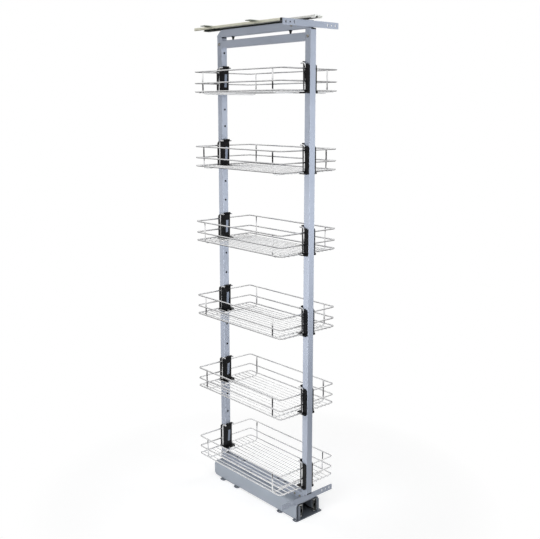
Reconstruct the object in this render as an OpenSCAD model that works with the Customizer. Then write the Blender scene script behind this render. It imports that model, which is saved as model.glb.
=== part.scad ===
// Pull out pantry frame.
// A tall frame of two square uprights rides on a pair of ball-bearing slides in a floor channel,
// is guided at the top by a third slide laid flat, and carries six wire baskets on black clips.
// Millimetres, +Z up. The frame pulls out along -Y, and the floor under its middle is the origin.

/* [Baskets] */
// Heights of the baskets' bottom rings over the floor
basket_heights = [114, 383, 660, 932, 1199, 1456]; // each at least 220 over the one below
// Width of a basket between the centres of its long wires
basket_width = 249; // [235:1:262]
// Heights of the three rings over the bottom ring
ring_steps = [0, 29, 68]; // the first is 0, the last up to 72
// Diameter of the ring, cross and hanger wires
wire = 4.8; // [4.4:0.1:5]
// Diameter of the floor wires
floor_wire = 3; // [2.6:0.1:3.4]
// Bend radius of the ring corners, to the wire's centre
ring_corner = 10; // [9:1:20]
// Number of floor wires on each side of the middle
floor_wires_each_side = 6; // [4:1:7]
// Distance between the two cross wires
cross_wire_spacing = 364; // [300:2:376]
// How far neighbouring wires sink into each other at a weld
weld = 0.35; // [0.25:0.05:0.5]

/* [Frame] */
// Depth of the frame over both uprights
frame_depth = 478; // [460:1:520]
// Width of the square tube of the uprights and bars
tube = 25; // [24:0.5:26]
// Wall of the square tube
tube_wall = 1.5; // [1.2:0.1:2]
// Outer corner radius of the square tube
tube_corner = 2; // [1.8:0.1:3]
// Length of the uprights
upright_length = 1565; // [1550:1:1700]
// Height of the black band that each tube plug shows
plug_band = 4.5; // [3:0.5:7]
// Free space between the crossbar and the upper bar
crossbar_gap = 12.5; // [12:0.5:20]
// Heights of the spare clip holes, measured from each basket's bottom ring
spare_hole_steps = [-61, 137]; // clear of the clip, from -70 to 140
// Diameter of the clip holes in the uprights
clip_hole = 5; // [4:0.5:6]
// Cut of the upper bar's rear top corner, along Y and Z
upper_bar_cut = [24, 20]; // each from 5 to 24

/* [Clips] */
// Height of a clip's cheeks over the bottom ring
cheek_top = 82; // [78:1:90]
// Half width over a clip's cheeks
cheek_reach = 18; // [17:0.5:19]
// How far a clip stands out from the upright towards the basket
clip_nose = 9; // [7:0.5:11]
// Window in a clip's front wall, width and height
clip_window = [12, 46]; // width up to 20, height up to 54

/* [Floor channel] */
// Length of the floor channel
channel_length = 441; // [436:1:470]
// Inside width of the floor channel
channel_inside = 87; // [84:1:92]
// Sheet of the floor channel and of the carrier
channel_sheet = 2.5; // [2:0.1:2.5]
// Height of the floor channel's side walls
channel_height = 52; // [40:1:54]
// Distance of the screw ears' holes from the channel's outer wall
ear_hole_offset = 10; // [9:0.5:14]
// Distance between the two ears of a pair
ear_pitch = 82; // [70:1:90]
// Places of the two pairs of ears
ear_pair_places = [-188, 136]; // both within the channel's length

/* [Slides] */
// Length of the floor slides
slide_length = 430; // [400:1:440]
// Height of every slide
slide_height = 45; // [44:0.5:46]
// Thickness of the floor slides
floor_slide_thick = 19; // [18:0.5:20]
// Thickness of the top slide
top_slide_thick = 12.7; // [12.5:0.1:14]
// Travel that the slides are laid out for
travel = 420; // [300:5:420]
// Gap between a ball and its race
ball_gap = 0.3; // [0.3:0.05:0.4]

/* [Runner cover] */
// Outside width of the runner cover
cover_width = 106; // [104:1:116]
// Length of the runner cover
cover_length = 461.5; // [455:0.5:470]
// Sheet of the runner cover
cover_sheet = 1.5; // [1:0.1:2]
// Radius of the runner cover's upper edges
cover_corner = 12; // [6:0.5:16]

/* [Door brackets] */
// Length of a door bracket
bracket_length = 242; // [200:1:300]
// Height of a door bracket
bracket_height = 20; // [18:0.5:20]
// Sheet of a door bracket
bracket_sheet = 2.5; // [2:0.1:3]
// Distances of the slot, the hole and the slot from a bracket's end
bracket_hole_steps = [13, 31, 48]; // each at least 12 past the one before

/* [Hidden] */
$fn = 48;

// Colours
coat_grey = [0.62, 0.65, 0.71];
zinc = [0.74, 0.74, 0.70];
dark_steel = [0.24, 0.25, 0.24];
black_plastic = [0.06, 0.06, 0.07];
white_nylon = [0.92, 0.92, 0.90];
brassy = [0.70, 0.62, 0.50];
chrome_wire = [0.80, 0.81, 0.83];

// Gap between pieces of one body that slide into each other, and a cut that runs clear of a face
fit_gap = 0.2;
clear = 1;

// Floor runner
wall_x = channel_inside / 2;
channel_outer = wall_x + channel_sheet;
channel_front = -241;
ear_width = 24;
ear_corner = 8;
ear_hole = 5.5;
ear_reach = channel_outer + ear_hole_offset + 7;
ear_ledge = 4;
ear_places = [for (m = ear_pair_places, s = [-1, 1]) m + s * ear_pitch / 2];
slide_lift = 4;
slide_front = -232;
slide_rear = slide_front + slide_length;
slide_bottom = channel_sheet + slide_lift;
slide_middle_z = slide_bottom + slide_height / 2;
carrier_half = wall_x - floor_slide_thick;
carrier_gap = 2;
carrier_under = slide_bottom + slide_height + carrier_gap;
carrier_top = carrier_under + channel_sheet;
carrier_bottom = 21;
carrier_front = -230;
carrier_rear = slide_rear;
cover_top = carrier_top + cover_sheet;
cover_bottom = channel_sheet + 1.5;
cover_front = -230.5;
cover_rear = cover_front + cover_length;
cover_notch = 10;

// Frame
outer_y = frame_depth / 2;
inner_y = outer_y - tube;
upright_y = outer_y - tube / 2;
bar_front = -upright_y - 0.5;
rail_bottom = cover_top;
rail_top = rail_bottom + tube;
upright_top = rail_top + upright_length;
upper_top = upright_top + tube;
crossbar_top = upright_top - crossbar_gap;
crossbar_middle = crossbar_top - tube / 2;
tube_inside = tube - 2 * tube_wall;
plug_depth = 14;
plug_ledge = 1;
plug_corner = 0.8;
plug_face = 2;
clip_peg_step = 70;
rail_bolt_places = [-116, -78, 115, 156];
rail_access_hole = 9.5;
rail_bolt = 6;
bolt_head = 12;
bolt_head_height = 4;
bolt_nut = 5;
bolt_nut_wide = 11;
cross_screw = 5;
screw_head = 9;
screw_head_height = 2.6;
head_round_share = 0.45;
shank_into_head = 0.5;
knob_places = [-133, 163];
knob_height = crossbar_gap - 0.5;
knob_flange = 3;
knob_flange_wide = 12;
knob_wide = 9;
knob_narrow = 6;
stud = 6;

// Door brackets
lower_bracket_z = cover_top + 0.5;
upper_bracket_z = upright_top + (tube - bracket_height) / 2 + 0.5;
tongue_length = 90;
tongue_height = 15;
lower_screw_steps = [22, 48];
upper_screw_steps = [54, 76];
bracket_corner = 1.5;
bracket_screw = 5;
bracket_screw_past = 4;
bracket_hole = 6;
bracket_slot = [5, 11];

// Top slide
spacer_height = 2.5;
spacer_half = 11;
spacer_corner = 1;
stud_end_gap = 0.3;
top_outer_span = [-107, 362];
top_middle_span = [-244, 220];
top_tip_length = 18;
top_inner_span = [-150, 316];
top_slide_z = upper_top + spacer_height + top_slide_thick;
bumper_length = 5;
bumper_extra = 0.3;
tip_past = 1;
tip_extra = 0.9;
tip_gap = 1.2;
stop_length = 8;
stop_corner = 1.5;
plate_sheet = 2.5;
plate_half = 45;
plate_width = 30;
plate_corner = 3;
plate_hole = 5.5;
plate_hole_x = 36;
rear_plate_y = 281;
front_plate_y = 30;

// Slide members, across the thickness as shares of it, and ball sizes
outer_lip_share = 0.79;
middle_from_share = 0.242;
middle_to_share = 0.874;
inner_from_share = 0.447;
outer_ball_share = 0.49;
inner_ball_share = 0.60;
outer_ball_r = 2.1;
inner_ball_r = 1.9;
cage_sheet = 0.8;
cage_past_ball = 0.3;
ball_pitch = 24;
floor_sheet = 1.8;
top_sheet = 1.2;
sheet_bend = 0.6;
floor_cage_span = [slide_front + travel * 0.28, slide_rear - travel * 0.28];
top_outer_cage_span = [top_outer_span[0] + travel * 0.2 + 13, top_middle_span[1] - travel * 0.2 - 11];
top_inner_cage_span = [-60, 110];

// Baskets
wire_r = wire / 2;
floor_wire_r = floor_wire / 2;
ring_x = basket_width / 2;
ring_y = outer_y - 13;
hanger_x = cheek_reach + 0.5;
hanger_y = ring_y - wire + weld;
floor_z = -(wire_r + floor_wire_r - weld);
floor_pitch = 2 * (ring_x - 20.5) / (2 * floor_wires_each_side - 1);
floor_end = ring_y + wire_r - 0.4;
short_floor_end = 196;
cross_z = floor_z - floor_wire_r - wire_r + weld;
cross_x = ring_x - wire + weld;
cross_bend = 12;
cross_y = cross_wire_spacing / 2;
hook_gap = 0.3;
hook_z = cheek_top + hook_gap + wire_r;
hook_bend = 7;
hook_reach = 20;
hanger_start = -2;
cross_past_ring = 1;
middle_overlap = 0.01;

// Clips, with y counted from the upright's inner face towards the basket
groove_y = inner_y - hanger_y;
groove_r = wire_r + 0.3;
hook_relief = 3.5;
clip_back = -23.5;
clip_under = -9;
clip_slant = [6, 9];
clip_draft = 4;
clip_straight = 22;
cheek_cut = 6;
window_start = 17;
foot_half = 24;
foot_reach = 15;
foot_corner = 3;
foot_top = -wire_r - 0.3;
lip_half = 14;
lip_root = 8;
lip_reach = 8;
lip_rise = 9;
lip_sheet = 2;
lip_top = cheek_top + lip_rise;

// Flat shapes

// Rectangle with round corners, from the origin to [w, h]
module round_rect(w, h, r) {
    translate([r, 0]) square([w - 2 * r, h]);
    translate([0, r]) square([w, h - 2 * r]);
    for (x = [r, w - r], y = [r, h - r]) translate([x, y]) circle(r);
}

// Square tube section, centred
module tube_section() {
    difference() {
        translate([-tube / 2, -tube / 2]) round_rect(tube, tube, tube_corner);
        translate([-tube_inside / 2, -tube_inside / 2])
            round_rect(tube_inside, tube_inside, max(tube_corner - tube_wall, 0.3));
    }
}

// Extrudes a section drawn in X and Z along Y
module along_y(from, to) {
    translate([0, to, 0]) rotate([90, 0, 0]) linear_extrude(to - from) children();
}

// Extrudes a section drawn in Y and Z along X
module along_x(from, to) {
    translate([from, 0, 0]) rotate([90, 0, 90]) linear_extrude(to - from) children();
}

// Slot with round ends, standing along Z, cut along Y
module standing_slot(x, z, size, y0, y1) {
    run = (size[1] - size[0]) / 2;
    along_y(y0, y1) translate([x, z]) {
        square([size[0], 2 * run], center = true);
        for (s = [-1, 1]) translate([0, s * run]) circle(d = size[0]);
    }
}

// Round bar along an axis, from a point
module bar_x(from, to, y, z, r) {
    translate([from, y, z]) rotate([0, 90, 0]) cylinder(h = to - from, r = r);
}
module bar_y(x, from, to, z, r) {
    translate([x, from, z]) rotate([-90, 0, 0]) cylinder(h = to - from, r = r);
}
module bar_z(x, y, from, to, r) {
    translate([x, y, from]) cylinder(h = to - from, r = r);
}

// Quarter bend of a wire in the XY plane, from +X round to +Y
module wire_bend(bend, r) {
    rotate_extrude(angle = 90) translate([bend, 0]) circle(r);
}

// Slide sections: u runs across the thickness from the outer web, v along the height

function outer_inside(s) = slide_height / 2 - s;
function middle_half(s) = outer_inside(s) - 2 * (outer_ball_r + ball_gap);
function middle_inside(s) = middle_half(s) - s;
function inner_half(s) = middle_inside(s) - 2 * (inner_ball_r + ball_gap);
function outer_ball_v(s) = (outer_inside(s) + middle_half(s)) / 2;
function inner_ball_v(s) = (middle_inside(s) + inner_half(s)) / 2;

// Bent sheet with its web at u0 and an open side at u1, whose lips leave the mouth free
module bent_sheet(u0, u1, half, s, mouth) {
    difference() {
        translate([u0, -half]) round_rect(u1 - u0, 2 * half, s + sheet_bend);
        translate([u0 + s, -half + s]) round_rect(u1 - u0 - 2 * s, 2 * (half - s), sheet_bend);
        translate([u1 - s - 0.1, -mouth]) square([s + clear, 2 * mouth]);
    }
}

module outer_member(t, s) {
    bent_sheet(0, t * outer_lip_share, slide_height / 2, s, outer_ball_v(s) - 0.4);
}

module middle_member(t, s) {
    bent_sheet(t * middle_from_share, t * middle_to_share, middle_half(s), s, inner_ball_v(s) + 0.6);
}

module inner_member(t, s) {
    translate([t * (1 + inner_from_share), 0]) mirror([1, 0])
        bent_sheet(t * inner_from_share, t, inner_half(s), s, inner_half(s) - s);
}

// Ball cage: a bent strip from one race to the other, with the balls held in it
module ball_cage(u_web, u_end, v, u_ball, r, from, to) {
    balls = floor((to - from) / ball_pitch);
    along_y(from, to) {
        translate([u_web, -v - cage_sheet / 2]) square([cage_sheet, 2 * v + cage_sheet]);
        for (s = [-1, 1])
            translate([u_web, s * v - cage_sheet / 2]) square([u_end - u_web, cage_sheet]);
    }
    for (i = [0 : balls - 1], s = [-1, 1])
        translate([u_ball, (from + to) / 2 + (i - (balls - 1) / 2) * ball_pitch, s * v]) sphere(r);
}

module outer_cage(t, s, from, to) {
    gap_middle = (s + t * middle_from_share) / 2;
    ball_u = t * outer_ball_share;
    ball_cage(gap_middle - cage_sheet / 2, ball_u + outer_ball_r + cage_past_ball, outer_ball_v(s),
              ball_u, outer_ball_r, from, to);
}

module inner_cage(t, s, from, to) {
    gap_middle = (t * middle_from_share + s + t * inner_from_share) / 2;
    ball_u = t * inner_ball_share;
    ball_cage(gap_middle - cage_sheet / 2, ball_u + inner_ball_r + cage_past_ball, inner_ball_v(s),
              ball_u, inner_ball_r, from, to);
}

// Places a section of a floor slide: side -1 is the left slide, 1 the right one
module floor_slide(side) {
    mirror([side > 0 ? 1 : 0, 0, 0]) translate([-wall_x, 0, slide_middle_z]) children();
}

// Places a section of the top slide, with its web up
module top_slide() {
    translate([0, 0, top_slide_z]) rotate([0, 90, 0]) children();
}

// Left and right floor slides

module slide_outer(side) {
    color(zinc) floor_slide(side)
        along_y(slide_front, slide_rear) outer_member(floor_slide_thick, floor_sheet);
}

module slide_middle(side) {
    color(zinc) floor_slide(side)
        along_y(slide_front, slide_rear) middle_member(floor_slide_thick, floor_sheet);
}

module slide_inner(side) {
    color(zinc) floor_slide(side)
        along_y(slide_front, slide_rear) inner_member(floor_slide_thick, floor_sheet);
}

module slide_outer_balls(side) {
    color(zinc) floor_slide(side)
        outer_cage(floor_slide_thick, floor_sheet, floor_cage_span[0], floor_cage_span[1]);
}

module slide_inner_balls(side) {
    color(zinc) floor_slide(side)
        inner_cage(floor_slide_thick, floor_sheet, floor_cage_span[0], floor_cage_span[1]);
}

// Floor channel: a folded sheet with four screw ears on each side

module floor_channel() {
    color(coat_grey) difference() {
        union() {
            linear_extrude(channel_sheet) channel_outline();
            for (s = [-1, 1])
                translate([s * (wall_x + channel_sheet / 2) - channel_sheet / 2, channel_front, 0])
                    cube([channel_sheet, channel_length, channel_height]);
        }
        for (s = [-1, 1], y = ear_places)
            translate([s * (channel_outer + ear_hole_offset), y, -clear])
                cylinder(h = channel_sheet + 2 * clear, d = ear_hole);
    }
}

module channel_outline() {
    translate([-channel_outer, channel_front]) square([2 * channel_outer, channel_length]);
    for (s = [-1, 1]) mirror([s > 0 ? 0 : 1, 0]) {
        for (y = ear_places)
            translate([wall_x - ear_corner, y - ear_width / 2])
                round_rect(ear_reach - wall_x + ear_corner, ear_width, ear_corner);
        for (m = ear_pair_places)
            translate([wall_x, m - ear_pitch / 2]) square([channel_sheet + ear_ledge, ear_pitch]);
    }
}

// Carrier: the folded channel that hangs on the inner slide members

module carrier() {
    color(coat_grey) difference() {
        along_y(carrier_front, carrier_rear) {
            translate([-carrier_half, carrier_under]) square([2 * carrier_half, channel_sheet]);
            for (s = [-1, 1])
                translate([s * (carrier_half - channel_sheet / 2) - channel_sheet / 2, carrier_bottom])
                    square([channel_sheet, carrier_top - carrier_bottom]);
        }
        for (y = rail_bolt_places)
            bar_z(0, y, carrier_under - clear, carrier_top + clear, rail_bolt / 2 + fit_gap);
    }
}

// Runner cover: a bent sheet over the slides, cut back at its rear lower corners

module cover_section(half, top, r) {
    translate([-half, cover_bottom]) square([2 * half, top - r - cover_bottom]);
    translate([-half + r, cover_bottom]) square([2 * (half - r), top - cover_bottom]);
    for (s = [-1, 1]) translate([s * (half - r), top - r]) circle(r);
}

module runner_cover() {
    half = cover_width / 2;
    color(coat_grey) difference() {
        along_y(cover_front, cover_rear) cover_section(half, cover_top, cover_corner);
        along_y(cover_front - clear, cover_rear + clear) {
            cover_section(half - cover_sheet, carrier_top, cover_corner - cover_sheet);
            translate([-half + cover_sheet, 0]) square([2 * (half - cover_sheet), cover_bottom + clear]);
        }
        along_x(-half - clear, half + clear)
            polygon([[cover_rear - cover_notch, cover_bottom - clear],
                     [cover_rear + clear, cover_bottom - clear],
                     [cover_rear + clear, cover_bottom + cover_notch]]);
        for (y = rail_bolt_places)
            bar_z(0, y, carrier_top - clear, cover_top + clear, rail_bolt / 2 + fit_gap);
    }
}

// Bottom rail and its four bolts

module bottom_rail() {
    middle = rail_bottom + tube / 2;
    color(coat_grey) difference() {
        along_y(bar_front, outer_y) translate([0, middle]) tube_section();
        for (y = rail_bolt_places) {
            bar_z(0, y, middle, rail_top + clear, rail_access_hole / 2);
            bar_z(0, y, rail_bottom - clear, middle, rail_bolt / 2 + fit_gap);
        }
        for (y = lower_screw_steps)
            bar_x(-tube / 2 - clear, 0, bar_front + y, tongue_z(lower_bracket_z),
                  bracket_screw / 2 + fit_gap);
    }
}

module rail_bolts() {
    head_seat = rail_bottom + tube_wall;
    color(brassy) for (y = rail_bolt_places) {
        bar_z(0, y, carrier_under - bolt_nut - clear, head_seat + clear, rail_bolt / 2);
        translate([0, y, head_seat]) pan_head(bolt_head, bolt_head_height);
        translate([0, y, carrier_under - bolt_nut]) cylinder(h = bolt_nut, d = bolt_nut_wide, $fn = 6);
    }
}

// Screw head with a round upper edge, standing on z = 0
module pan_head(d, h) {
    edge = h * head_round_share;
    rotate_extrude() {
        square([d / 2, h - edge]);
        square([d / 2 - edge, h]);
        translate([d / 2 - edge, h - edge]) intersection() {
            circle(edge);
            square(edge);
        }
    }
}

// Uprights, cut back at both ends for the plugs, with clip holes in the inner wall

module upright(side) {
    notch = tube_inside - plug_ledge;
    color(coat_grey) difference() {
        translate([0, side * upright_y, rail_top]) linear_extrude(upright_length) tube_section();
        for (z = [rail_top - clear, upright_top - plug_band])
            translate([-notch / 2, side * upright_y - tube, z]) cube([notch, 2 * tube, plug_band + clear]);
        for (h = basket_heights, step = concat(spare_hole_steps, [clip_peg_step]))
            mirror([0, side > 0 ? 0 : 1, 0])
                bar_y(0, inner_y - clear, inner_y + tube / 2, h + step, clip_hole / 2);
        bar_x(-tube, tube, side * upright_y, crossbar_middle, cross_screw / 2 + fit_gap);
    }
}

module front_upright() {
    upright(-1);
}

module rear_upright() {
    upright(1);
}

// Plugs in the tube ends: a shank in the tube and a band that fills the cut

module upright_plugs() {
    color(black_plastic) for (s = [-1, 1]) {
        upright_plug(s, rail_top, 1);
        upright_plug(s, upright_top, -1);
    }
}

module upright_plug(side, z, up) {
    band = tube_inside - plug_ledge - 2 * fit_gap;
    shank = tube_inside - 2 * fit_gap;
    translate([0, side * upright_y, z]) mirror([0, 0, up > 0 ? 0 : 1]) {
        translate([-band / 2, -tube / 2, 0]) cube([band, tube, plug_band]);
        translate([-shank / 2, -shank / 2, 0])
            linear_extrude(plug_depth) round_rect(shank, shank, plug_corner);
    }
}

module rail_plug() {
    shank = tube_inside - 2 * fit_gap;
    color(black_plastic) {
        along_y(outer_y - plug_depth, outer_y + clear)
            translate([-shank / 2, rail_bottom + tube / 2 - shank / 2])
                round_rect(shank, shank, plug_corner);
        along_y(outer_y, outer_y + plug_face)
            translate([-tube / 2, rail_bottom]) round_rect(tube, tube, tube_corner);
    }
}

// Crossbar between the uprights, with one screw through each upright

module crossbar() {
    color(coat_grey) along_y(-inner_y, inner_y) translate([0, crossbar_middle]) tube_section();
}

module crossbar_screws() {
    color(brassy) for (s = [-1, 1]) {
        bar_x(-tube / 2 - shank_into_head, tube / 2 + shank_into_head, s * upright_y, crossbar_middle,
              cross_screw / 2);
        for (side = [-1, 1])
            translate([side * tube / 2, s * upright_y, crossbar_middle])
                rotate([0, side * 90, 0]) pan_head(screw_head, screw_head_height);
    }
}

// Upper bar, closed and cut slanting at its rear end

module upper_bar() {
    middle = upright_top + tube / 2;
    cut_start = outer_y - upper_bar_cut[0];
    cut_end = upper_top - upper_bar_cut[1];
    color(coat_grey) difference() {
        along_y(bar_front, outer_y)
            translate([-tube / 2, upright_top]) round_rect(tube, tube, tube_corner);
        along_y(bar_front - clear, cut_start - tube_wall)
            translate([-tube_inside / 2, middle - tube_inside / 2])
                round_rect(tube_inside, tube_inside, tube_corner - tube_wall);
        along_x(-tube, tube)
            polygon([[cut_start, upper_top], [cut_start, upper_top + clear],
                     [outer_y + clear, upper_top + clear], [outer_y + clear, cut_end], [outer_y, cut_end]]);
        for (y = knob_places) bar_z(0, y, upright_top - clear, upper_top + clear, stud / 2 + fit_gap);
        for (y = upper_screw_steps)
            bar_x(-tube / 2 - clear, 0, bar_front + y, tongue_z(upper_bracket_z),
                  bracket_screw / 2 + fit_gap);
    }
}

// Dark spacer bar that lifts the top slide off the upper bar

module upper_spacer() {
    color(dark_steel) difference() {
        along_y(top_inner_span[0], top_inner_span[1])
            translate([-spacer_half, upper_top]) round_rect(2 * spacer_half, spacer_height, spacer_corner);
        for (y = knob_places)
            bar_z(0, y, upper_top - clear, upper_top + spacer_height + clear, stud / 2 + fit_gap);
    }
}

// Tapered knob with a flange under the upper bar, and its stud up into the spacer

module knob(y) {
    color(black_plastic) {
        translate([0, y, upright_top - knob_height])
            cylinder(h = knob_height - knob_flange + clear, d1 = knob_narrow, d2 = knob_wide);
        bar_z(0, y, upright_top - knob_flange, upright_top, knob_flange_wide / 2);
        bar_z(0, y, upright_top - clear, upper_top + spacer_height - stud_end_gap, stud / 2);
    }
}

module front_knob() {
    knob(knob_places[0]);
}

module rear_knob() {
    knob(knob_places[1]);
}

// Door brackets: a flat bar across, with a tongue held in the tube by two screws

function tongue_z(bracket_z) = bracket_z + bracket_height / 2;

module door_bracket(z) {
    middle = tongue_z(z);
    color(coat_grey) difference() {
        union() {
            along_y(bar_front - bracket_sheet, bar_front)
                translate([-bracket_length / 2, z])
                    round_rect(bracket_length, bracket_height, bracket_corner);
            translate([-tube_inside / 2, bar_front - clear, middle - tongue_height / 2])
                cube([bracket_sheet, tongue_length + clear, tongue_height]);
        }
        for (s = [-1, 1]) {
            bar_y(s * (bracket_length / 2 - bracket_hole_steps[1]), bar_front - bracket_sheet - clear,
                  bar_front + clear, middle, bracket_hole / 2);
            for (i = [0, 2])
                standing_slot(s * (bracket_length / 2 - bracket_hole_steps[i]), middle, bracket_slot,
                              bar_front - bracket_sheet - clear, bar_front + clear);
        }
        for (y = z < upright_top ? lower_screw_steps : upper_screw_steps)
            bar_x(-tube, 0, bar_front + y, middle, bracket_screw / 2 + fit_gap);
    }
}

module lower_door_bracket() {
    door_bracket(lower_bracket_z);
}

module upper_door_bracket() {
    door_bracket(upper_bracket_z);
}

module bracket_screws(z, steps) {
    color(brassy) for (y = steps) {
        bar_x(-tube / 2 - shank_into_head, -tube_inside / 2 + bracket_sheet + bracket_screw_past,
              bar_front + y, tongue_z(z), bracket_screw / 2);
        translate([-tube / 2, bar_front + y, tongue_z(z)])
            rotate([0, -90, 0]) pan_head(screw_head, screw_head_height);
    }
}

module lower_bracket_screws() {
    bracket_screws(lower_bracket_z, lower_screw_steps);
}

module upper_bracket_screws() {
    bracket_screws(upper_bracket_z, upper_screw_steps);
}

// Top slide, laid flat with its outer member up

module top_slide_outer() {
    color(zinc) top_slide()
        along_y(top_outer_span[0], top_outer_span[1]) outer_member(top_slide_thick, top_sheet);
}

module top_slide_middle() {
    color(zinc) top_slide()
        along_y(top_middle_span[0], top_middle_span[1]) middle_member(top_slide_thick, top_sheet);
}

module top_slide_inner() {
    color(dark_steel) top_slide()
        along_y(top_inner_span[0], top_inner_span[1]) inner_member(top_slide_thick, top_sheet);
}

module top_outer_balls() {
    color(zinc) top_slide()
        outer_cage(top_slide_thick, top_sheet, top_outer_cage_span[0], top_outer_cage_span[1]);
}

module top_inner_balls() {
    color(zinc) top_slide()
        inner_cage(top_slide_thick, top_sheet, top_inner_cage_span[0], top_inner_cage_span[1]);
}

// Black bumper on the fixed member's front end, open for the middle member

module top_slide_bumper() {
    color(black_plastic) top_slide()
        along_y(top_outer_span[0] - bumper_length, top_outer_span[0])
            outer_member(top_slide_thick, top_sheet + bumper_extra);
}

// White nylon tip on the middle member's front end, open for the inner member

module top_slide_tip() {
    color(white_nylon) top_slide() along_y(top_middle_span[0] - top_tip_length, top_middle_span[0])
        bent_sheet(top_slide_thick * middle_from_share, top_slide_thick * middle_to_share + tip_past,
                   middle_half(top_sheet), top_sheet + tip_extra, inner_half(top_sheet) + tip_gap);
}

// Black stop on the inner member's front end

module top_slide_stop() {
    half = inner_half(top_sheet);
    color(black_plastic) top_slide() along_y(top_inner_span[0] - stop_length, top_inner_span[0])
        translate([top_slide_thick * inner_from_share, -half])
            round_rect(top_slide_thick * (1 - inner_from_share), 2 * half, stop_corner);
}

// Cross plates that screw the top slide to the cabinet

module top_plate(y) {
    color(zinc) difference() {
        translate([-plate_half, y - plate_width / 2, top_slide_z])
            linear_extrude(plate_sheet) round_rect(2 * plate_half, plate_width, plate_corner);
        for (s = [-1, 1])
            bar_z(s * plate_hole_x, y, top_slide_z - clear, top_slide_z + plate_sheet + clear,
                  plate_hole / 2);
    }
}

module rear_top_plate() {
    top_plate(rear_plate_y);
}

module front_top_plate() {
    top_plate(front_plate_y);
}

// Clips: cheeks on both sides of the upright, a front wall with a window, a flared lip and a foot

module clip_plan() {
    nose_half = cheek_reach - clip_slant[0];
    slant_start = clip_nose - clip_slant[1];
    polygon([[-cheek_reach, clip_back], [cheek_reach, clip_back], [cheek_reach, slant_start],
             [nose_half, clip_nose], [-nose_half, clip_nose], [-cheek_reach, slant_start]]);
}

module clip_side() {
    low_nose = clip_nose - clip_draft;
    polygon([[clip_back, clip_under], [clip_back, cheek_top - cheek_cut],
             [clip_back + cheek_cut, cheek_top], [clip_nose, cheek_top],
             [clip_nose, cheek_top - clip_straight], [low_nose, 0], [low_nose, clip_under]]);
}

module lip_side() {
    polygon([[fit_gap, cheek_top - lip_root], [fit_gap, cheek_top], [lip_reach, lip_top],
             [lip_reach + lip_sheet, lip_top - lip_sheet],
             [fit_gap + 2 * lip_sheet, cheek_top - lip_root]]);
}

module clip() {
    upright_half = tube / 2 + fit_gap;
    color(black_plastic) {
        difference() {
            union() {
                intersection() {
                    translate([0, 0, clip_under]) linear_extrude(cheek_top - clip_under) clip_plan();
                    along_x(-cheek_reach, cheek_reach) clip_side();
                }
                translate([-foot_half, clip_back, clip_under])
                    linear_extrude(foot_top - clip_under)
                        round_rect(2 * foot_half, foot_reach - clip_back, foot_corner);
            }
            translate([-upright_half, clip_back - clear, clip_under - clear])
                cube([2 * upright_half, fit_gap - clip_back + clear, lip_top - clip_under]);
            translate([-clip_window[0] / 2, 0, window_start])
                cube([clip_window[0], clip_nose + clear, clip_window[1]]);
            for (s = [-1, 1]) {
                bar_z(s * hanger_x, groove_y, foot_top, lip_top, groove_r);
                translate([s * hanger_x - (s > 0 ? 0 : groove_r), groove_y - groove_r, foot_top])
                    cube([groove_r, 2 * groove_r, lip_top - foot_top]);
                translate([s > 0 ? hanger_x - groove_r : -hanger_x, groove_y, hook_z - hook_bend - clear])
                    cube([groove_r, groove_r + hook_relief, lip_top]);
            }
        }
        along_x(-lip_half, lip_half) lip_side();
        bar_y(0, -tube_wall - clear, clear, clip_peg_step, clip_hole / 2 - fit_gap);
    }
}

module front_clip(i) {
    translate([0, -inner_y, basket_heights[i - 1]]) clip();
}

module rear_clip(i) {
    translate([0, inner_y, basket_heights[i - 1]]) rotate(180) clip();
}

// Baskets: three open rings, two cross wires, floor wires and four hanger wires, welded together

module ring_half(z) {
    turn_x = ring_x - ring_corner;
    turn_y = ring_y - ring_corner;
    bar_y(ring_x, -turn_y, turn_y, z, wire_r);
    for (s = [-1, 1]) {
        bar_x(hanger_x, turn_x, s * ring_y, z, wire_r);
        translate([turn_x, s * turn_y, z]) mirror([0, s > 0 ? 0 : 1, 0]) wire_bend(ring_corner, wire_r);
    }
}

module cross_half(y) {
    turn_x = cross_x - cross_bend;
    turn_z = cross_z + cross_bend;
    bar_x(-middle_overlap, turn_x, y, cross_z, wire_r);
    translate([turn_x, y, turn_z]) rotate([-90, 0, 0]) wire_bend(cross_bend, wire_r);
    bar_z(cross_x, y, turn_z, ring_steps[2] + cross_past_ring, wire_r);
}

module hanger(side_y) {
    turn_z = hook_z - hook_bend;
    bar_z(hanger_x, side_y * hanger_y, hanger_start, turn_z, wire_r);
    translate([hanger_x, side_y * (hanger_y - hook_bend), turn_z])
        mirror([0, side_y > 0 ? 0 : 1, 0]) rotate([90, 0, 90]) wire_bend(hook_bend, wire_r);
    bar_y(hanger_x, side_y > 0 ? hanger_y - hook_reach : -hanger_y + hook_bend,
          side_y > 0 ? hanger_y - hook_bend : -hanger_y + hook_reach, hook_z, wire_r);
}

module basket(i) {
    color(chrome_wire) translate([0, 0, basket_heights[i - 1]])
        for (m = [0, 1]) mirror([m, 0, 0]) {
            for (z = ring_steps) ring_half(z);
            for (s = [-1, 1]) {
                cross_half(s * cross_y);
                hanger(s);
            }
            for (k = [0 : floor_wires_each_side - 1]) {
                end = k == 0 ? short_floor_end : floor_end;
                bar_y(floor_pitch * (k + 0.5), -end, end, floor_z, floor_wire_r);
            }
        }
}

// One line for each node

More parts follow.
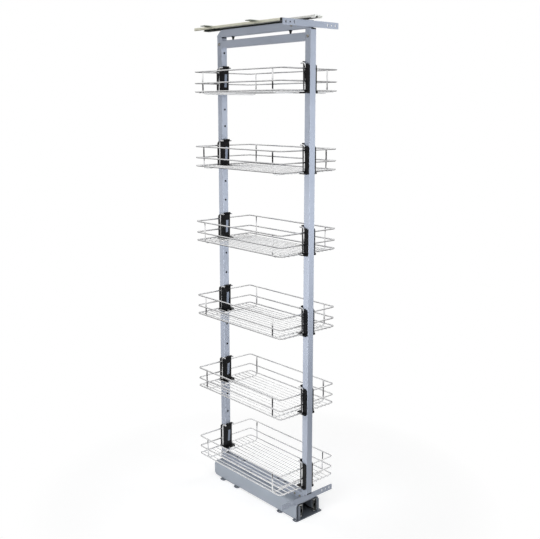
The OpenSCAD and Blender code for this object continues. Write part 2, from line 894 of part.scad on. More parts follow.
floor_channel();
carrier();
runner_cover();
bottom_rail();
rail_bolts();
front_upright();
rear_upright();
upright_plugs();
rail_plug();
crossbar();
crossbar_screws();
upper_bar();
upper_spacer();
front_knob();
rear_knob();
lower_door_bracket();
upper_door_bracket();
lower_bracket_screws();
upper_bracket_screws();
slide_outer(-1);  // left_slide_outer
slide_middle(-1);  // left_slide_middle
slide_inner(-1);  // left_slide_inner
slide_outer_balls(-1);  // left_outer_balls
slide_inner_balls(-1);  // left_inner_balls
slide_outer(1);  // right_slide_outer
slide_middle(1);  // right_slide_middle
slide_inner(1);  // right_slide_inner
slide_outer_balls(1);  // right_outer_balls
slide_inner_balls(1);  // right_inner_balls
top_slide_outer();
top_slide_middle();
top_slide_inner();
top_outer_balls();
top_inner_balls();
top_slide_bumper();
top_slide_tip();
top_slide_stop();
rear_top_plate();
front_top_plate();
for (i = [1 : 6]) {
    front_clip(i);
    rear_clip(i);
    basket(i);
}
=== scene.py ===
"""A pull out pantry frame: two uprights on ball-bearing slides, with six wire baskets on black clips."""
import math
import bmesh
import bpy
from mathutils import Matrix, Vector


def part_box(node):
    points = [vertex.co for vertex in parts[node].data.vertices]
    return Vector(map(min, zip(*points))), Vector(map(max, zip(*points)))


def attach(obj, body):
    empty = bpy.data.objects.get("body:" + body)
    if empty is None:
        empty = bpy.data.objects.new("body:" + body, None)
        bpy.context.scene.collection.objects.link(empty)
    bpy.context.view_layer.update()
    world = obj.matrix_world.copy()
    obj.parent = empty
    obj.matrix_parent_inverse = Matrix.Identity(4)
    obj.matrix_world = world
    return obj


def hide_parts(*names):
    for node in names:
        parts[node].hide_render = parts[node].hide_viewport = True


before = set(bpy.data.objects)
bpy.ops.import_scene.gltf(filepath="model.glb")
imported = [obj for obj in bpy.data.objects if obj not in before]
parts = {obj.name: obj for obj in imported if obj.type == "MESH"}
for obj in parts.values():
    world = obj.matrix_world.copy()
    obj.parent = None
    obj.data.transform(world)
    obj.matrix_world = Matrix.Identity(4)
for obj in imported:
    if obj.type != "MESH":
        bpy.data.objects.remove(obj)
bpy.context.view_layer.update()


# Floor channel
# A folded steel sheet that is screwed to the cabinet floor by its ears.
# It is powder coated dark grey, so its edges are soft and its faces have a fine orange peel.

class Field:
    """A value or colour over a surface. Sums and products of values add their own nodes."""

    def __init__(self, tree, socket=None):
        self.tree = tree
        self.socket = socket

    def node(self, kind, settings=None, values=None, out=0):
        """A new node: its settings are set first, then each socket gets a value or a link."""
        made = self.tree.nodes.new("ShaderNode" + kind)
        for name, value in (settings or {}).items():
            if name == "stops":
                ramp = made.color_ramp.elements
                while len(ramp) < len(value):
                    ramp.new(1.0)
                for stop, (place, level) in zip(ramp, value):
                    stop.position = place
                    stop.color = (level, level, level, 1.0)
            else:
                setattr(made, name, value)
        for name, value in (values or {}).items():
            if isinstance(value, Field):
                self.tree.links.new(value.socket, made.inputs[name])
            else:
                made.inputs[name].default_value = value
        return Field(self.tree, made.outputs[out])

    def math(self, operation, first, second):
        """One calculation on two values."""
        return self.node("Math", {"operation": operation}, {0: first, 1: second})

    def __add__(self, other):
        return self.math("ADD", self, other)

    def __sub__(self, other):
        return self.math("SUBTRACT", self, other)

    def __rsub__(self, other):
        return self.math("SUBTRACT", other, self)

    def __mul__(self, other):
        return self.math("MULTIPLY", self, other)

    __radd__ = __add__
    __rmul__ = __mul__

    def place(self, stretch=(1.0, 1.0, 1.0)):
        """Position on the piece in metres, squeezed along each axis by stretch."""
        raw = self.node("TexCoord", out=3)
        return self.node("VectorMath", {"operation": "MULTIPLY"}, {0: raw, 1: stretch})

    def noise(self, scale, detail=2.0, stretch=(1.0, 1.0, 1.0)):
        """Cloudy values from 0 to 1, finer with a larger scale."""
        values = {"Vector": self.place(stretch), "Scale": scale, "Detail": detail}
        return self.node("TexNoise", None, values)

    def ramp(self, stops):
        """The level that pairs of place and level give for this value."""
        return self.node("ValToRGB", {"stops": stops}, {0: self})

    def blend(self, first, second):
        """The first colour where this value is 0, the second where it is 1."""
        return self.node("Mix", {"data_type": "RGBA"}, {0: self, 6: first, 7: second}, out=2)

    def bump(self, strength, distance):
        """A normal that follows this value as a height in metres."""
        return self.node("Bump", None, {"Strength": strength, "Distance": distance, "Height": self})


def paint(red, green, blue):
    """A colour given as it looks on a screen, 0 to 255, for a shader socket."""
    levels = []
    for part in (red, green, blue):
        share = part / 255
        levels.append(share / 12.92 if share <= 0.04045 else ((share + 0.055) / 1.055) ** 2.4)
    return (*levels, 1.0)


def finish(name, recipe):
    """A material whose recipe gives the inputs of its surface shader by name."""
    made = bpy.data.materials.new(name)
    made.use_nodes = True
    shader = made.node_tree.nodes["Principled BSDF"]
    for socket, value in recipe(Field(made.node_tree)).items():
        if isinstance(value, Field):
            made.node_tree.links.new(value.socket, shader.inputs[socket])
        else:
            shader.inputs[socket].default_value = value
    return made


def thin_edges(field, reach):
    """Near 1 on outward edges, where a finish is thin, and 0 on open faces."""
    settings = {"inside": True, "only_local": True, "samples": 6}
    open_share = field.node("AmbientOcclusion", settings, {"Distance": reach}, out=1)
    return open_share.ramp([(0.45, 1.0), (0.62, 0.0)])


def deep_inside(field, reach):
    """Near 1 deep in a tube, where shade is painted in, and 0 on open faces."""
    settings = {"only_local": True, "samples": 6}
    open_share = field.node("AmbientOcclusion", settings, {"Distance": reach}, out=1)
    return open_share.ramp([(0.1, 1.0), (0.35, 0.0)])


def powder_coat(name, light, dark, shade_inside=False):
    """A coat with a slow drift of tone, a fine fleck, orange peel, paler edges and, if asked, painted
    shade deep in tubes.
    """
    edge_reach = 0.0012
    tube_reach = 0.03
    worn_edge = paint(206, 210, 218)
    tube_shade = paint(38, 38, 40)

    def recipe(field):
        drift = field.noise(7.0).ramp([(0.3, 0.0), (0.7, 1.0)])
        fleck = field.noise(2600.0, 1.0)
        peel = field.noise(520.0, 1.5)
        body = (0.7 * drift + 0.3 * fleck).blend(dark, light)
        tone = (0.35 * thin_edges(field, edge_reach)).blend(body, worn_edge)
        # Painted shade: deep inside a tube the colour goes near black.
        if shade_inside:
            tone = deep_inside(field, tube_reach).blend(tone, tube_shade)
        return {
            "Base Color": tone,
            "Metallic": 0.2,
            "Roughness": 0.36 + 0.08 * fleck + 0.06 * drift,
            "Specular IOR Level": 0.45,
            "Normal": (0.75 * peel + 0.25 * fleck).bump(0.08, 0.0001),
        }
    return finish(name, recipe)


def dress(names, material, edge=0.0, welded=False):
    """Puts a material on CAD pieces. Doubled points are joined and sharp edges rounded if asked."""
    for name in names:
        piece = parts[name]
        piece.data.materials.clear()
        piece.data.materials.append(material)
        if edge > 0 or welded:
            weld = piece.modifiers.new("weld", "WELD")
            weld.merge_threshold = 0.00002
        if edge > 0:
            soft = piece.modifiers.new("edge", "BEVEL")
            soft.width = edge
            soft.segments = 2
            soft.limit_method = "ANGLE"
            soft.angle_limit = math.radians(40)
            even = piece.modifiers.new("even", "WEIGHTED_NORMAL")
            even.keep_sharp = False


channel_coat = powder_coat("channel_coat", paint(118, 123, 132), paint(104, 109, 118))
dress(["floor_channel"], channel_coat, edge=0.0005)


# Floor slides
# Two three-part drawer slides on the channel's walls, roll formed from zinc-plated steel strip.
# Their balls run in stamped cages, and the plating shows fine rolling lines along the strip.

def zinc_plate(name, light, dark, rough):
    """Zinc plating with rolling lines along the strip and a cloudy bloom."""
    def recipe(field):
        lines = field.noise(900.0, 2.0, (1.0, 0.03, 1.0))
        bloom = field.noise(60.0, 3.0).ramp([(0.35, 0.0), (0.65, 1.0)])
        grain = field.noise(2400.0, 1.0)
        body = (0.6 * bloom + 0.4 * lines).blend(dark, light)
        return {
            "Base Color": body,
            "Metallic": 1.0,
            "Roughness": rough + 0.14 * lines + 0.08 * grain,
            "Normal": (0.7 * lines + 0.3 * grain).bump(0.15, 0.00005),
        }
    return finish(name, recipe)


slide_zinc = zinc_plate("slide_zinc", paint(226, 226, 222), paint(200, 200, 196), rough=0.2)
# Painted shade: the middle and inner members get a darker copy of the zinc because they sit in shade
# inside the outer members.
slide_zinc_shaded = zinc_plate("slide_zinc_shaded", paint(120, 120, 118), paint(88, 88, 87), rough=0.24)
for side in ("left", "right"):
    dress([side + "_slide_outer"], slide_zinc)
    dress([side + "_outer_balls", side + "_inner_balls"], slide_zinc, welded=True)
    dress([side + "_slide_middle", side + "_slide_inner"], slide_zinc_shaded)


# Carrier and runner cover
# The carrier is a folded channel between the slides, and the cover is a bent sheet over them.
# Both are steel: the cover has the frame's grey powder coat, and the carrier's coat is painted dark as
# painted shade.

# Painted shade: the carrier is coloured dark because it sits deep in shade between the slides.
carrier_shaded_coat = powder_coat("carrier_shaded_coat", paint(84, 88, 96), paint(66, 70, 77))
dress(["carrier"], carrier_shaded_coat)
cover_coat = powder_coat("cover_coat", paint(162, 169, 179), paint(148, 155, 165))
dress(["runner_cover"], cover_coat, edge=0.0004)


# Bottom rail
# A square steel tube along the cover, held by four bolts through its floor.
# The bolts are yellow-passivated, and a moulded plug closes the tube's rear end.

def yellow_zinc(name):
    """Passivated zinc with a faint yellow bloom."""
    def recipe(field):
        bloom = field.noise(260.0, 2.0).ramp([(0.3, 0.0), (0.7, 1.0)])
        grain = field.noise(3000.0, 1.0)
        return {
            "Base Color": bloom.blend(paint(150, 144, 130), paint(190, 186, 176)),
            "Metallic": 1.0,
            "Roughness": 0.24 + 0.16 * grain,
            "Normal": grain.bump(0.1, 0.00004),
        }
    return finish(name, recipe)


def black_moulding(name, rough):
    """Black plastic with a fine grain, flow marks and paler edges."""
    edge_reach = 0.0008
    rubbed_edge = paint(52, 52, 56)

    def recipe(field):
        grain = field.noise(1900.0, 2.0)
        flow = field.noise(45.0, 2.0).ramp([(0.35, 0.0), (0.65, 1.0)])
        body = (0.6 * flow + 0.4 * grain).blend(paint(7, 7, 8), paint(17, 17, 19))
        return {
            "Base Color": (0.4 * thin_edges(field, edge_reach)).blend(body, rubbed_edge),
            "Roughness": rough + 0.18 * grain,
            "Specular IOR Level": 0.22,
            "Normal": grain.bump(0.3, 0.00008),
        }
    return finish(name, recipe)


frame_coat = powder_coat("frame_coat", paint(167, 173, 186), paint(153, 160, 173), shade_inside=True)
screw_zinc = yellow_zinc("screw_zinc")
plug_black = black_moulding("plug_black", rough=0.36)
dress(["bottom_rail"], frame_coat)
dress(["rail_bolts"], screw_zinc)
dress(["rail_plug"], plug_black, edge=0.0006)


# Uprights
# Two square steel tubes with a row of clip holes on the inner face, powder coated.
# Moulded black plugs fill their ends.

dress(["front_upright", "rear_upright"], frame_coat, edge=0.0003)
dress(["upright_plugs"], plug_black, edge=0.0004)


# Crossbar
# A square tube between the uprights near the top, powder coated like them.
# A sleeve screw goes through each upright, with a cross-recessed pan head on both sides.

def turned(mesh, stand, profile, sides=48, ribs=0, rib_depth=0.0):
    """Adds a turned solid: radius and height pairs from its foot up, with ribs along it if given."""
    loops = []
    for radius, height in profile:
        loop = []
        for k in range(sides):
            turn = 2 * math.pi * k / sides
            reach = radius + rib_depth * math.cos(ribs * turn)
            point = Vector((reach * math.cos(turn), reach * math.sin(turn), height))
            loop.append(mesh.verts.new(stand @ point))
        loops.append(loop)
    for lower, upper in zip(loops, loops[1:]):
        for k in range(sides):
            after = (k + 1) % sides
            mesh.faces.new((lower[k], lower[after], upper[after], upper[k]))
    mesh.faces.new(list(reversed(loops[0])))
    mesh.faces.new(loops[-1])


def pan_head(mesh, stand, radius, height):
    """Adds a screw head with a rounded edge and a cross pressed into its top."""
    sides = 72
    edge_steps = 5
    top_steps = 16
    edge = 0.45 * height
    arm_length = 0.56 * radius
    arm_half = 0.14 * radius
    depth = 0.5 * height
    soft = 0.05 * radius
    rims = [(radius, 0.0), (radius, height - edge)]
    for step in range(1, edge_steps + 1):
        turn = math.pi / 2 * step / edge_steps
        rims.append((radius - edge + edge * math.cos(turn), height - edge + edge * math.sin(turn)))
    flat = radius - edge
    for step in range(1, top_steps):
        rims.append((flat * (1 - step / top_steps), height))
    loops = []
    for rim, level in rims:
        loop = []
        for k in range(sides):
            turn = 2 * math.pi * k / sides
            x = rim * math.cos(turn)
            y = rim * math.sin(turn)
            beside = max(0.0, min(1.0, (arm_half - min(abs(x), abs(y))) / soft + 0.5))
            within = max(0.0, min(1.0, (arm_length - max(abs(x), abs(y))) / soft + 0.5))
            loop.append(mesh.verts.new(stand @ Vector((x, y, level - depth * beside * within))))
        loops.append(loop)
    for outer, inner in zip(loops, loops[1:]):
        for k in range(sides):
            after = (k + 1) % sides
            mesh.faces.new((outer[k], outer[after], inner[after], inner[k]))
    mesh.faces.new(list(reversed(loops[0])))
    mesh.faces.new(loops[-1])


def build(name, mesh, material, body):
    """Turns a drawn mesh into a piece that rides on a body."""
    crease = math.radians(50)
    bmesh.ops.recalc_face_normals(mesh, faces=mesh.faces[:])
    for face in mesh.faces:
        face.smooth = True
    for edge in mesh.edges:
        if len(edge.link_faces) == 2 and edge.calc_face_angle() > crease:
            edge.smooth = False
    data = bpy.data.meshes.new(name)
    mesh.to_mesh(data)
    mesh.free()
    data.materials.append(material)
    piece = bpy.data.objects.new(name, data)
    bpy.context.scene.collection.objects.link(piece)
    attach(piece, body)
    return piece


def facing(place, direction):
    """A stand for a turned solid: its foot at a place and its height along a direction."""
    turn = Vector((0.0, 0.0, 1.0)).rotation_difference(Vector(direction))
    return Matrix.Translation(place) @ turn.to_matrix().to_4x4()


screw_shank = 0.0025
overlap = 0.0004
dress(["crossbar"], frame_coat)
low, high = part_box("crossbar_screws")
tube_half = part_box("front_upright")[1][0]
head_radius = (high[2] - low[2]) / 2
head_height = high[0] - tube_half
screws = bmesh.new()
for y in (low[1] + head_radius, high[1] - head_radius):
    for side in (-1, 1):
        seat = (side * tube_half, y, low[2] + head_radius)
        pan_head(screws, facing(seat, (side, 0, 0)), head_radius, head_height)
    sleeve = [(screw_shank, -tube_half - overlap), (screw_shank, tube_half + overlap)]
    turned(screws, facing((0, y, low[2] + head_radius), (1, 0, 0)), sleeve, sides=32)
piece = build("crossbar_pan_screws", screws, screw_zinc, "carriage")
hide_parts("crossbar_screws")


# Hole caps
# Black plastic caps pressed into the spare clip holes of both uprights, below and above each basket.
# A low domed flange lies on the tube, and a short stem fills the hole.

shelves = range(1, 7)
ring_over_clip = 0.009
cap_radius = 0.0037
cap_rise = 0.0012
dome_shape = ((1.0, 0.0), (1.0, 0.3), (0.86, 0.7), (0.55, 0.94), (0.2, 1.0))
stem_radius = 0.0024
stem_length = 0.003
spare_below = -0.061
spare_above = 0.137
caps = bmesh.new()
for side, ahead in (("front", 1), ("rear", -1)):
    low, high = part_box(side + "_upright")
    face_y = high[1] if ahead > 0 else low[1]
    for i in shelves:
        ring_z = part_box(side + "_clip_" + str(i))[0][2] + ring_over_clip
        for z in (ring_z + spare_below, ring_z + spare_above):
            if z < low[2]:
                continue
            stand = facing((0.0, face_y, z), (0, ahead, 0))
            dome = [(width * cap_radius, level * cap_rise) for width, level in dome_shape]
            turned(caps, stand, dome, sides=32)
            stem = [(stem_radius, -stem_length), (stem_radius, dome[1][1])]
            turned(caps, stand, stem, sides=24)
build("hole_caps", caps, plug_black, "carriage")


# Upper bar, spacer and knobs
# The upper bar lies on the uprights and is cut slanting at the rear.
# A spacer bar on it carries the top slide, held by two studs with tapered plastic knobs. Its dark colour
# is painted shade under the slide.

def dark_steel(name):
    """Steel painted dark as painted shade, with rolling lines along the strip."""
    def recipe(field):
        lines = field.noise(800.0, 2.0, (1.0, 0.04, 1.0))
        bloom = field.noise(40.0, 3.0).ramp([(0.35, 0.0), (0.65, 1.0)])
        return {
            "Base Color": (0.6 * bloom + 0.4 * lines).blend(paint(40, 43, 38), paint(70, 73, 66)),
            "Metallic": 0.75,
            "Roughness": 0.34 + 0.16 * lines,
            "Normal": lines.bump(0.12, 0.00005),
        }
    return finish(name, recipe)


# Painted shade: the spacer and the top slide's inner member are coloured dark for the shaded strip under
# the fixed member.
slide_shaded_dark = dark_steel("slide_shaded_dark")
dress(["upper_bar"], frame_coat)
dress(["upper_spacer"], slide_shaded_dark, edge=0.0004)
flange_height = 0.003
knob_edge = 0.0006
narrow_end = 0.0027
wide_end = 0.0042
knob_ribs = 12
rib_depth = 0.0003
stud_radius = 0.003
under_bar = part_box("upper_bar")[0][2]
for end in ("front", "rear"):
    low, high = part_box(end + "_knob")
    flange = (high[0] - low[0]) / 2
    grip = under_bar - flange_height - low[2]
    stand = Matrix.Translation((0.0, (low[1] + high[1]) / 2, low[2]))
    knob = bmesh.new()
    cone = [(narrow_end - knob_edge, 0.0), (narrow_end - knob_edge / 3, knob_edge / 3),
            (narrow_end, knob_edge), (wide_end, grip), (wide_end - knob_edge, grip + knob_edge)]
    turned(knob, stand, cone, sides=96, ribs=knob_ribs, rib_depth=rib_depth)
    top = grip + flange_height
    plate = [(flange - knob_edge, grip), (flange, grip + knob_edge),
             (flange, top - knob_edge), (flange - knob_edge, top)]
    turned(knob, stand, plate, sides=96)
    stud = [(stud_radius, top - knob_edge), (stud_radius, high[2] - low[2])]
    turned(knob, stand, stud, sides=32)
    piece = build(end + "_ribbed_knob", knob, plug_black, "carriage")
    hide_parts(end + "_knob")


# Door brackets
# Two flat bars that the cabinet door screws to, each with a tongue clamped in the tube.
# Punched slots and a hole near each end let the door be set straight.

dress(["lower_door_bracket", "upper_door_bracket"], frame_coat, edge=0.0003)
for name in ("lower", "upper"):
    low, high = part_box(name + "_bracket_screws")
    head_radius = (high[2] - low[2]) / 2
    screws = bmesh.new()
    for y in (low[1] + head_radius, high[1] - head_radius):
        seat = (-tube_half, y, low[2] + head_radius)
        pan_head(screws, facing(seat, (-1, 0, 0)), head_radius, -tube_half - low[0])
        shank = [(screw_shank, -overlap), (screw_shank, high[0] + tube_half)]
        turned(screws, facing(seat, (1, 0, 0)), shank, sides=32)
    piece = build(name + "_bracket_pan_screws", screws, screw_zinc, "carriage")
    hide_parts(name + "_bracket_screws")


# Top slide
# A slimmer three-part slide laid flat, with its fixed member up and two moving members below.
# It is zinc plated, and its inner strip is painted dark as painted shade under the fixed member. A pale
# tip, a stop and a bumper guide and catch it.

def nylon(name):
    """Pale plastic with a fine grain."""
    def recipe(field):
        grain = field.noise(1500.0, 2.0)
        flow = field.noise(60.0, 2.0)
        return {
            "Base Color": (0.7 * flow + 0.3 * grain).blend(paint(224, 224, 218), paint(240, 240, 236)),
            "Roughness": 0.34 + 0.15 * grain,
            "Normal": grain.bump(0.15, 0.00005),
        }
    return finish(name, recipe)


top_zinc = zinc_plate("top_zinc", paint(232, 231, 214), paint(214, 213, 196), rough=0.32)
# Painted shade: the top plates get a darker, greener zinc because their undersides are seen in shade.
plate_zinc_shaded = zinc_plate("plate_zinc_shaded", paint(176, 182, 172), paint(150, 156, 146), rough=0.3)
dress(["top_slide_outer"], top_zinc)
dress(["top_outer_balls", "top_inner_balls"], top_zinc, welded=True)
dress(["rear_top_plate", "front_top_plate"], plate_zinc_shaded, edge=0.0003)
dress(["top_slide_middle"], slide_zinc)
dress(["top_slide_inner"], slide_shaded_dark)
dress(["top_slide_bumper", "top_slide_stop"], plug_black)
dress(["top_slide_tip"], nylon("tip_nylon"))


# Clips
# Moulded black plastic shoes that snap round an upright, two to a basket.
# Each has a foot under the bottom ring, grooves for the hanger wires and a flared lip.
# A grey plate with a slanting face fills the window of each clip. It stands for the upright's face seen
# there, with its coat painted darker as painted shade.

clip_black = black_moulding("clip_black", rough=0.34)
clips = [side + "_clip_" + str(i) for side in ("front", "rear") for i in shelves]
dress(clips, clip_black, edge=0.0006)

window_low = 0.017
window_high = 0.063
window_half = 0.0061
straight_from = 0.060
plate_back = 0.0004
plate_low = 0.0049
plate_front = 0.0078
plate_edge = 0.0004
doubled = 0.00001
# Painted shade: the window plates are darker than the frame's coat, like the upright's face in shade.
window_shade_grey = powder_coat("window_shade_grey", paint(134, 142, 157), paint(122, 130, 145))
plates = bmesh.new()
for side, ahead in (("front", 1), ("rear", -1)):
    low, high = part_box(side + "_upright")
    face_y = high[1] if ahead > 0 else low[1]
    for i in shelves:
        ring_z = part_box(side + "_clip_" + str(i))[0][2] + ring_over_clip
        outline = [(plate_back, window_low), (plate_low, window_low), (plate_front, straight_from),
                   (plate_front, window_high), (plate_back, window_high)]
        near_side = []
        far_side = []
        for depth, height in outline:
            near_side.append(plates.verts.new((-window_half, face_y + ahead * depth, ring_z + height)))
            far_side.append(plates.verts.new((window_half, face_y + ahead * depth, ring_z + height)))
        plates.faces.new(near_side)
        plates.faces.new(list(reversed(far_side)))
        for k in range(len(outline)):
            after = (k + 1) % len(outline)
            plates.faces.new((near_side[k], far_side[k], far_side[after], near_side[after]))
bmesh.ops.bevel(plates, geom=plates.edges[:], offset=plate_edge, segments=2, affect="EDGES")
bmesh.ops.remove_doubles(plates, verts=plates.verts[:], dist=doubled)
build("clip_window_plates", plates, window_shade_grey, "carriage")


# Baskets
# Six baskets of drawn steel wire, resistance welded and bright chrome plated.
# Three rings, two cross wires and twelve floor wires each, with hanger wires that hook over the clips.
# The plating of the thin floor wires is duller than that of the rings.

def bright_wire(name, floor_share):
    """Bright plating, duller on the thin floor wires, which fill the lowest share of a basket's height."""
    dulled = 0.42
    step_width = 0.004

    def recipe(field):
        height = field.node("SeparateXYZ", None, {0: field.node("TexCoord", out=0)}, out=2)
        thin = height.ramp([(floor_share, 1.0), (floor_share + step_width, 0.0)])
        lines = field.noise(1400.0, 1.0)
        haze = field.noise(35.0, 2.0).ramp([(0.35, 0.0), (0.65, 1.0)])
        bright = haze.blend(paint(226, 226, 228), paint(240, 240, 240))
        return {
            "Base Color": thin.blend(bright, paint(250, 250, 250)),
            "Metallic": 1.0 - dulled * thin,
            "Roughness": 0.05 + 0.06 * haze + 0.03 * lines,
            "Normal": lines.bump(0.05, 0.00003),
        }
    return finish(name, recipe)


def rounded(corners, bend, steps=8):
    """The path of a wire bent at each inner corner of a line, to a radius at the wire's middle."""
    path = [Vector(corners[0])]
    for before, corner, after in zip(corners, corners[1:], corners[2:]):
        corner = Vector(corner)
        back = (Vector(before) - corner).normalized()
        ahead = (Vector(after) - corner).normalized()
        half = back.angle(ahead) / 2
        middle = corner + (back + ahead).normalized() * (bend / math.sin(half))
        start = corner + back * (bend / math.tan(half)) - middle
        end = corner + ahead * (bend / math.tan(half)) - middle
        sweep = start.angle(end)
        for step in range(steps + 1):
            share = step / steps
            spoke = math.sin((1 - share) * sweep) * start + math.sin(share * sweep) * end
            path.append(middle + spoke / math.sin(sweep))
    path.append(Vector(corners[-1]))
    return path


def draw_wire(mesh, path, radius, sides=14):
    """Adds a round wire along a path, with its cut ends rounded off."""
    end_steps = ((0.42, 0.10), (0.80, 0.38), (0.96, 0.72))
    end_depth = 0.5 * radius
    rims = []
    forward = (path[1] - path[0]).normalized()
    across = forward.orthogonal().normalized()
    for place in range(len(path)):
        ahead = path[min(place + 1, len(path) - 1)] - path[place]
        behind = path[place] - path[max(place - 1, 0)]
        heading = (ahead.normalized() + behind.normalized()).normalized()
        across = (forward.rotation_difference(heading) @ across).normalized()
        forward = heading
        rims.append((path[place], across.copy(), forward.cross(across), 1.0))
    first = (path[0] - path[1]).normalized()
    last = (path[-1] - path[-2]).normalized()
    starts = []
    ends = []
    for width, inset in end_steps:
        starts.append((path[0] - first * (inset * end_depth), rims[0][1], rims[0][2], width))
        ends.insert(0, (path[-1] - last * (inset * end_depth), rims[-1][1], rims[-1][2], width))
    rims[0] = (path[0] - first * end_depth, rims[0][1], rims[0][2], 1.0)
    rims[-1] = (path[-1] - last * end_depth, rims[-1][1], rims[-1][2], 1.0)
    loops = []
    for middle, side, up, width in starts + rims + ends:
        loop = []
        for k in range(sides):
            turn = 2 * math.pi * k / sides
            offset = side * math.cos(turn) + up * math.sin(turn)
            loop.append(mesh.verts.new(middle + offset * (radius * width)))
        loops.append(loop)
    for near, far in zip(loops, loops[1:]):
        for k in range(sides):
            after = (k + 1) % sides
            mesh.faces.new((near[k], near[after], far[after], far[k]))
    mesh.faces.new(list(reversed(loops[0])))
    mesh.faces.new(loops[-1])


def weld_bead(mesh, place, sizes):
    """Adds the small squeezed-out bead where two wires are welded."""
    shape = Matrix.Translation(place) @ Matrix.Diagonal((*sizes, 1.0))
    bmesh.ops.create_icosphere(mesh, subdivisions=2, radius=1.0, matrix=shape)


wire = 0.0024
floor_wire = 0.0015
sunk = 0.00035
ring_steps = (0.0, 0.029, 0.068)
ring_bend = 0.010
hanger_x = 0.0185
hook_rise = 0.0847
hook_bend = 0.007
hook_reach = 0.020
hanger_drop = 0.002
cross_y = 0.182
cross_bend = 0.012
cross_over = 0.001
floor_wires = 12
floor_margin = 0.0205
short_end = 0.196
trim = 0.0004
bead_long = 0.0017
bead_thin = 0.0009
floor_bead = (0.0014, 0.0014, 0.0007)
floor_top = 2 * wire + 2 * floor_wire - 2 * sunk
hook_top = floor_top + wire + hook_rise + wire
chrome = bright_wire("chrome", floor_top / hook_top)

for shelf in shelves:
    low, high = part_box("basket_" + str(shelf))
    ring_x = high[0] - wire
    ring_y = high[1] - wire
    base = low[2] + 3 * wire + 2 * floor_wire - 2 * sunk
    hanger_y = ring_y - 2 * wire + sunk
    floor_z = base - wire - floor_wire + sunk
    cross_z = floor_z - floor_wire - wire + sunk
    cross_x = ring_x - 2 * wire + sunk
    basket = bmesh.new()
    for side in (-1, 1):
        for step in ring_steps:
            z = base + step
            corners = [(side * hanger_x, -ring_y, z), (side * ring_x, -ring_y, z),
                       (side * ring_x, ring_y, z), (side * hanger_x, ring_y, z)]
            draw_wire(basket, rounded(corners, ring_bend), wire)
            for end in (-1, 1):
                at_hanger = (side * hanger_x, end * (ring_y - wire), z)
                weld_bead(basket, at_hanger, (bead_long, bead_thin, bead_long))
                at_cross = (side * (ring_x - wire), end * cross_y, z)
                weld_bead(basket, at_cross, (bead_thin, bead_long, bead_long))
        for end in (-1, 1):
            hanger = [(side * hanger_x, end * hanger_y, base - hanger_drop),
                      (side * hanger_x, end * hanger_y, base + hook_rise),
                      (side * hanger_x, end * (hanger_y - hook_reach), base + hook_rise)]
            draw_wire(basket, rounded(hanger, hook_bend), wire)
    for end in (-1, 1):
        y = end * cross_y
        top = base + ring_steps[2] + cross_over
        cross = [(-cross_x, y, top), (-cross_x, y, cross_z), (cross_x, y, cross_z), (cross_x, y, top)]
        draw_wire(basket, rounded(cross, cross_bend), wire)
    pitch = 2 * (ring_x - floor_margin) / (floor_wires - 1)
    for count in range(floor_wires):
        x = (count - (floor_wires - 1) / 2) * pitch
        inner = abs(x) < pitch
        reach = short_end if inner else ring_y + wire - trim
        line = [Vector((x, -reach, floor_z)), Vector((x, reach, floor_z))]
        draw_wire(basket, line, floor_wire, sides=12)
        for end in (-1, 1):
            weld_bead(basket, (x, end * cross_y, floor_z - floor_wire), floor_bead)
            if not inner:
                weld_bead(basket, (x, end * ring_y, floor_z + floor_wire), floor_bead)
    piece = build("wire_basket_" + str(shelf), basket, chrome, "shelf_" + str(shelf))
    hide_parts("basket_" + str(shelf))


# Studio
# A pale floor that runs out into a white room, with five soft lamps round the object.
# Only mirrors see the ring of dark boards and the dark ring on the floor.
# They give the bright wire dark lines as well as light ones.

def seen(field):
    """1 for rays from the camera, from mirrors and through glass, so they meet a white background."""
    camera_ray = field.node("LightPath", out=0)
    glossy_ray = field.node("LightPath", out=3)
    through_ray = field.node("LightPath", out=6)
    total = camera_ray + glossy_ray + through_ray
    return field.math("MINIMUM", total, 1.0)


def flat_board(name, quads):
    """A plain board or floor from lists of four corners."""
    mesh = bmesh.new()
    for quad in quads:
        mesh.faces.new([mesh.verts.new(corner) for corner in quad])
    data = bpy.data.meshes.new(name)
    mesh.to_mesh(data)
    mesh.free()
    board = bpy.data.objects.new(name, data)
    bpy.context.scene.collection.objects.link(board)
    return board


room_light = 0.22
room = bpy.data.worlds.new("room")
room.use_nodes = True
sky = room.node_tree.nodes["Background"]
sky.inputs["Color"].default_value = (1.0, 1.0, 1.0, 1.0)
level = room_light + (1 - room_light) * seen(Field(room.node_tree))
room.node_tree.links.new(level.socket, sky.inputs["Strength"])
bpy.context.scene.world = room

floor_half = 9.0
floor_tone = (0.62, 0.62, 0.62, 1.0)
floor_glow = 0.53
fade_start = 0.3
fade_end = 0.85
fade_range = 5.0
floor = flat_board("floor", [[(-floor_half, -floor_half, 0.0), (floor_half, -floor_half, 0.0),
                              (floor_half, floor_half, 0.0), (-floor_half, floor_half, 0.0)]])
floor_finish = bpy.data.materials.new("floor")
floor_finish.use_nodes = True
floor_tree = floor_finish.node_tree
floor_field = Field(floor_tree)
floor_shader = floor_tree.nodes["Principled BSDF"]
floor_shader.inputs["Base Color"].default_value = floor_tone
floor_shader.inputs["Roughness"].default_value = 0.9
floor_shader.inputs["Specular IOR Level"].default_value = 0.1
glow = floor_field.node("Emission", None, {"Strength": floor_glow * seen(floor_field)})
near = floor_field.node("AddShader", None, {0: Field(floor_tree, floor_shader.outputs[0]), 1: glow})
far_level = room_light + (1 - room_light) * seen(floor_field)
far = floor_field.node("Emission", None, {"Strength": far_level})
distance = floor_field.node("VectorMath", {"operation": "LENGTH"}, {0: floor_field.place()}, out=1)
fade = (distance * (1 / fade_range)).ramp([(fade_start / fade_range, 0.0), (fade_end / fade_range, 1.0)])
whole = floor_field.node("MixShader", None, {0: fade, 1: near, 2: far})
floor_tree.links.new(whole.socket, floor_tree.nodes["Material Output"].inputs["Surface"])
floor.data.materials.append(floor_finish)

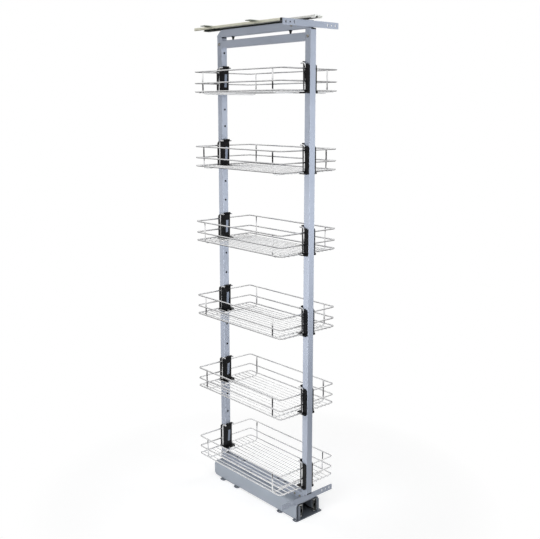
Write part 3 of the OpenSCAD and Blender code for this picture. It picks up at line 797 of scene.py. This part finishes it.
board_reach = 2.6
board_low = 1.15
board_high = 1.74
board_count = 12
mat_near = 0.7
mat_far = 4.2
mat_lift = 0.002
foot = Vector((0.0, 0.0, board_low))
head = Vector((0.0, 0.0, board_high))
lift = Vector((0.0, 0.0, mat_lift))
boards = []
for count in range(board_count):
    one = 2 * math.pi * count / board_count
    other = 2 * math.pi * (count + 1) / board_count
    left = Vector((math.cos(one), math.sin(one), 0.0))
    right = Vector((math.cos(other), math.sin(other), 0.0))
    boards.append([left * board_reach + foot, right * board_reach + foot,
                   right * board_reach + head, left * board_reach + head])
    boards.append([left * mat_near + lift, left * mat_far + lift,
                   right * mat_far + lift, right * mat_near + lift])
dark_boards = flat_board("dark_boards", boards)
board_finish = bpy.data.materials.new("dark_boards")
board_finish.use_nodes = True
board_shader = board_finish.node_tree.nodes["Principled BSDF"]
board_shader.inputs["Base Color"].default_value = paint(30, 30, 32)
board_shader.inputs["Roughness"].default_value = 0.9
dark_boards.data.materials.append(board_finish)
dark_boards.visible_camera = False
dark_boards.visible_diffuse = False
dark_boards.visible_transmission = False
dark_boards.visible_shadow = False


def lamp(name, place, target, size, power, tint, spread=100):
    """A round soft lamp aimed at a target, which neither the camera nor a mirror sees."""
    data = bpy.data.lights.new(name, "AREA")
    data.shape = "DISK"
    data.size = size
    data.energy = power
    data.spread = math.radians(spread)
    data.color = tint
    made = bpy.data.objects.new(name, data)
    made.location = place
    aim = Vector(target) - Vector(place)
    made.rotation_euler = aim.to_track_quat("-Z", "Y").to_euler()
    made.visible_camera = False
    made.visible_glossy = False
    bpy.context.scene.collection.objects.link(made)


lamp("key_lamp", (-1.45, -1.25, 0.8), (0.0, -0.1, 0.8), 0.8, 6.0, (0.96, 0.98, 1.0))
lamp("front_lamp", (0.5, -1.6, 1.4), (0.0, -0.2, 1.25), 0.9, 6.5, (0.93, 0.96, 1.0), spread=86)
lamp("rear_lamp", (-0.4, 1.9, 1.0), (0.0, 0.2, 1.0), 0.9, 7.0, (1.0, 1.0, 1.0))
lamp("right_lamp", (1.5, -0.1, 0.9), (0.0, 0.0, 0.9), 0.9, 6.5, (1.0, 1.0, 1.0))
lamp("left_lamp", (-1.3, -0.3, 0.75), (0.0, -0.1, 0.75), 0.9, 6.2, (1.0, 1.0, 1.0))

camera_data = bpy.data.cameras.new("camera")
camera_data.sensor_width = 36.0
camera_data.lens = 52.471
camera_data.shift_y = -0.0435
camera_data.clip_end = 60.0
camera = bpy.data.objects.new("camera", camera_data)
camera.location = (-1.7743, -2.0573, 1.4019)
camera.rotation_euler = (math.radians(90 - 9.973), 0.0, math.radians(-41.229))
bpy.context.scene.collection.objects.link(camera)
bpy.context.scene.camera = camera
bpy.context.scene.view_settings.view_transform = "Standard"
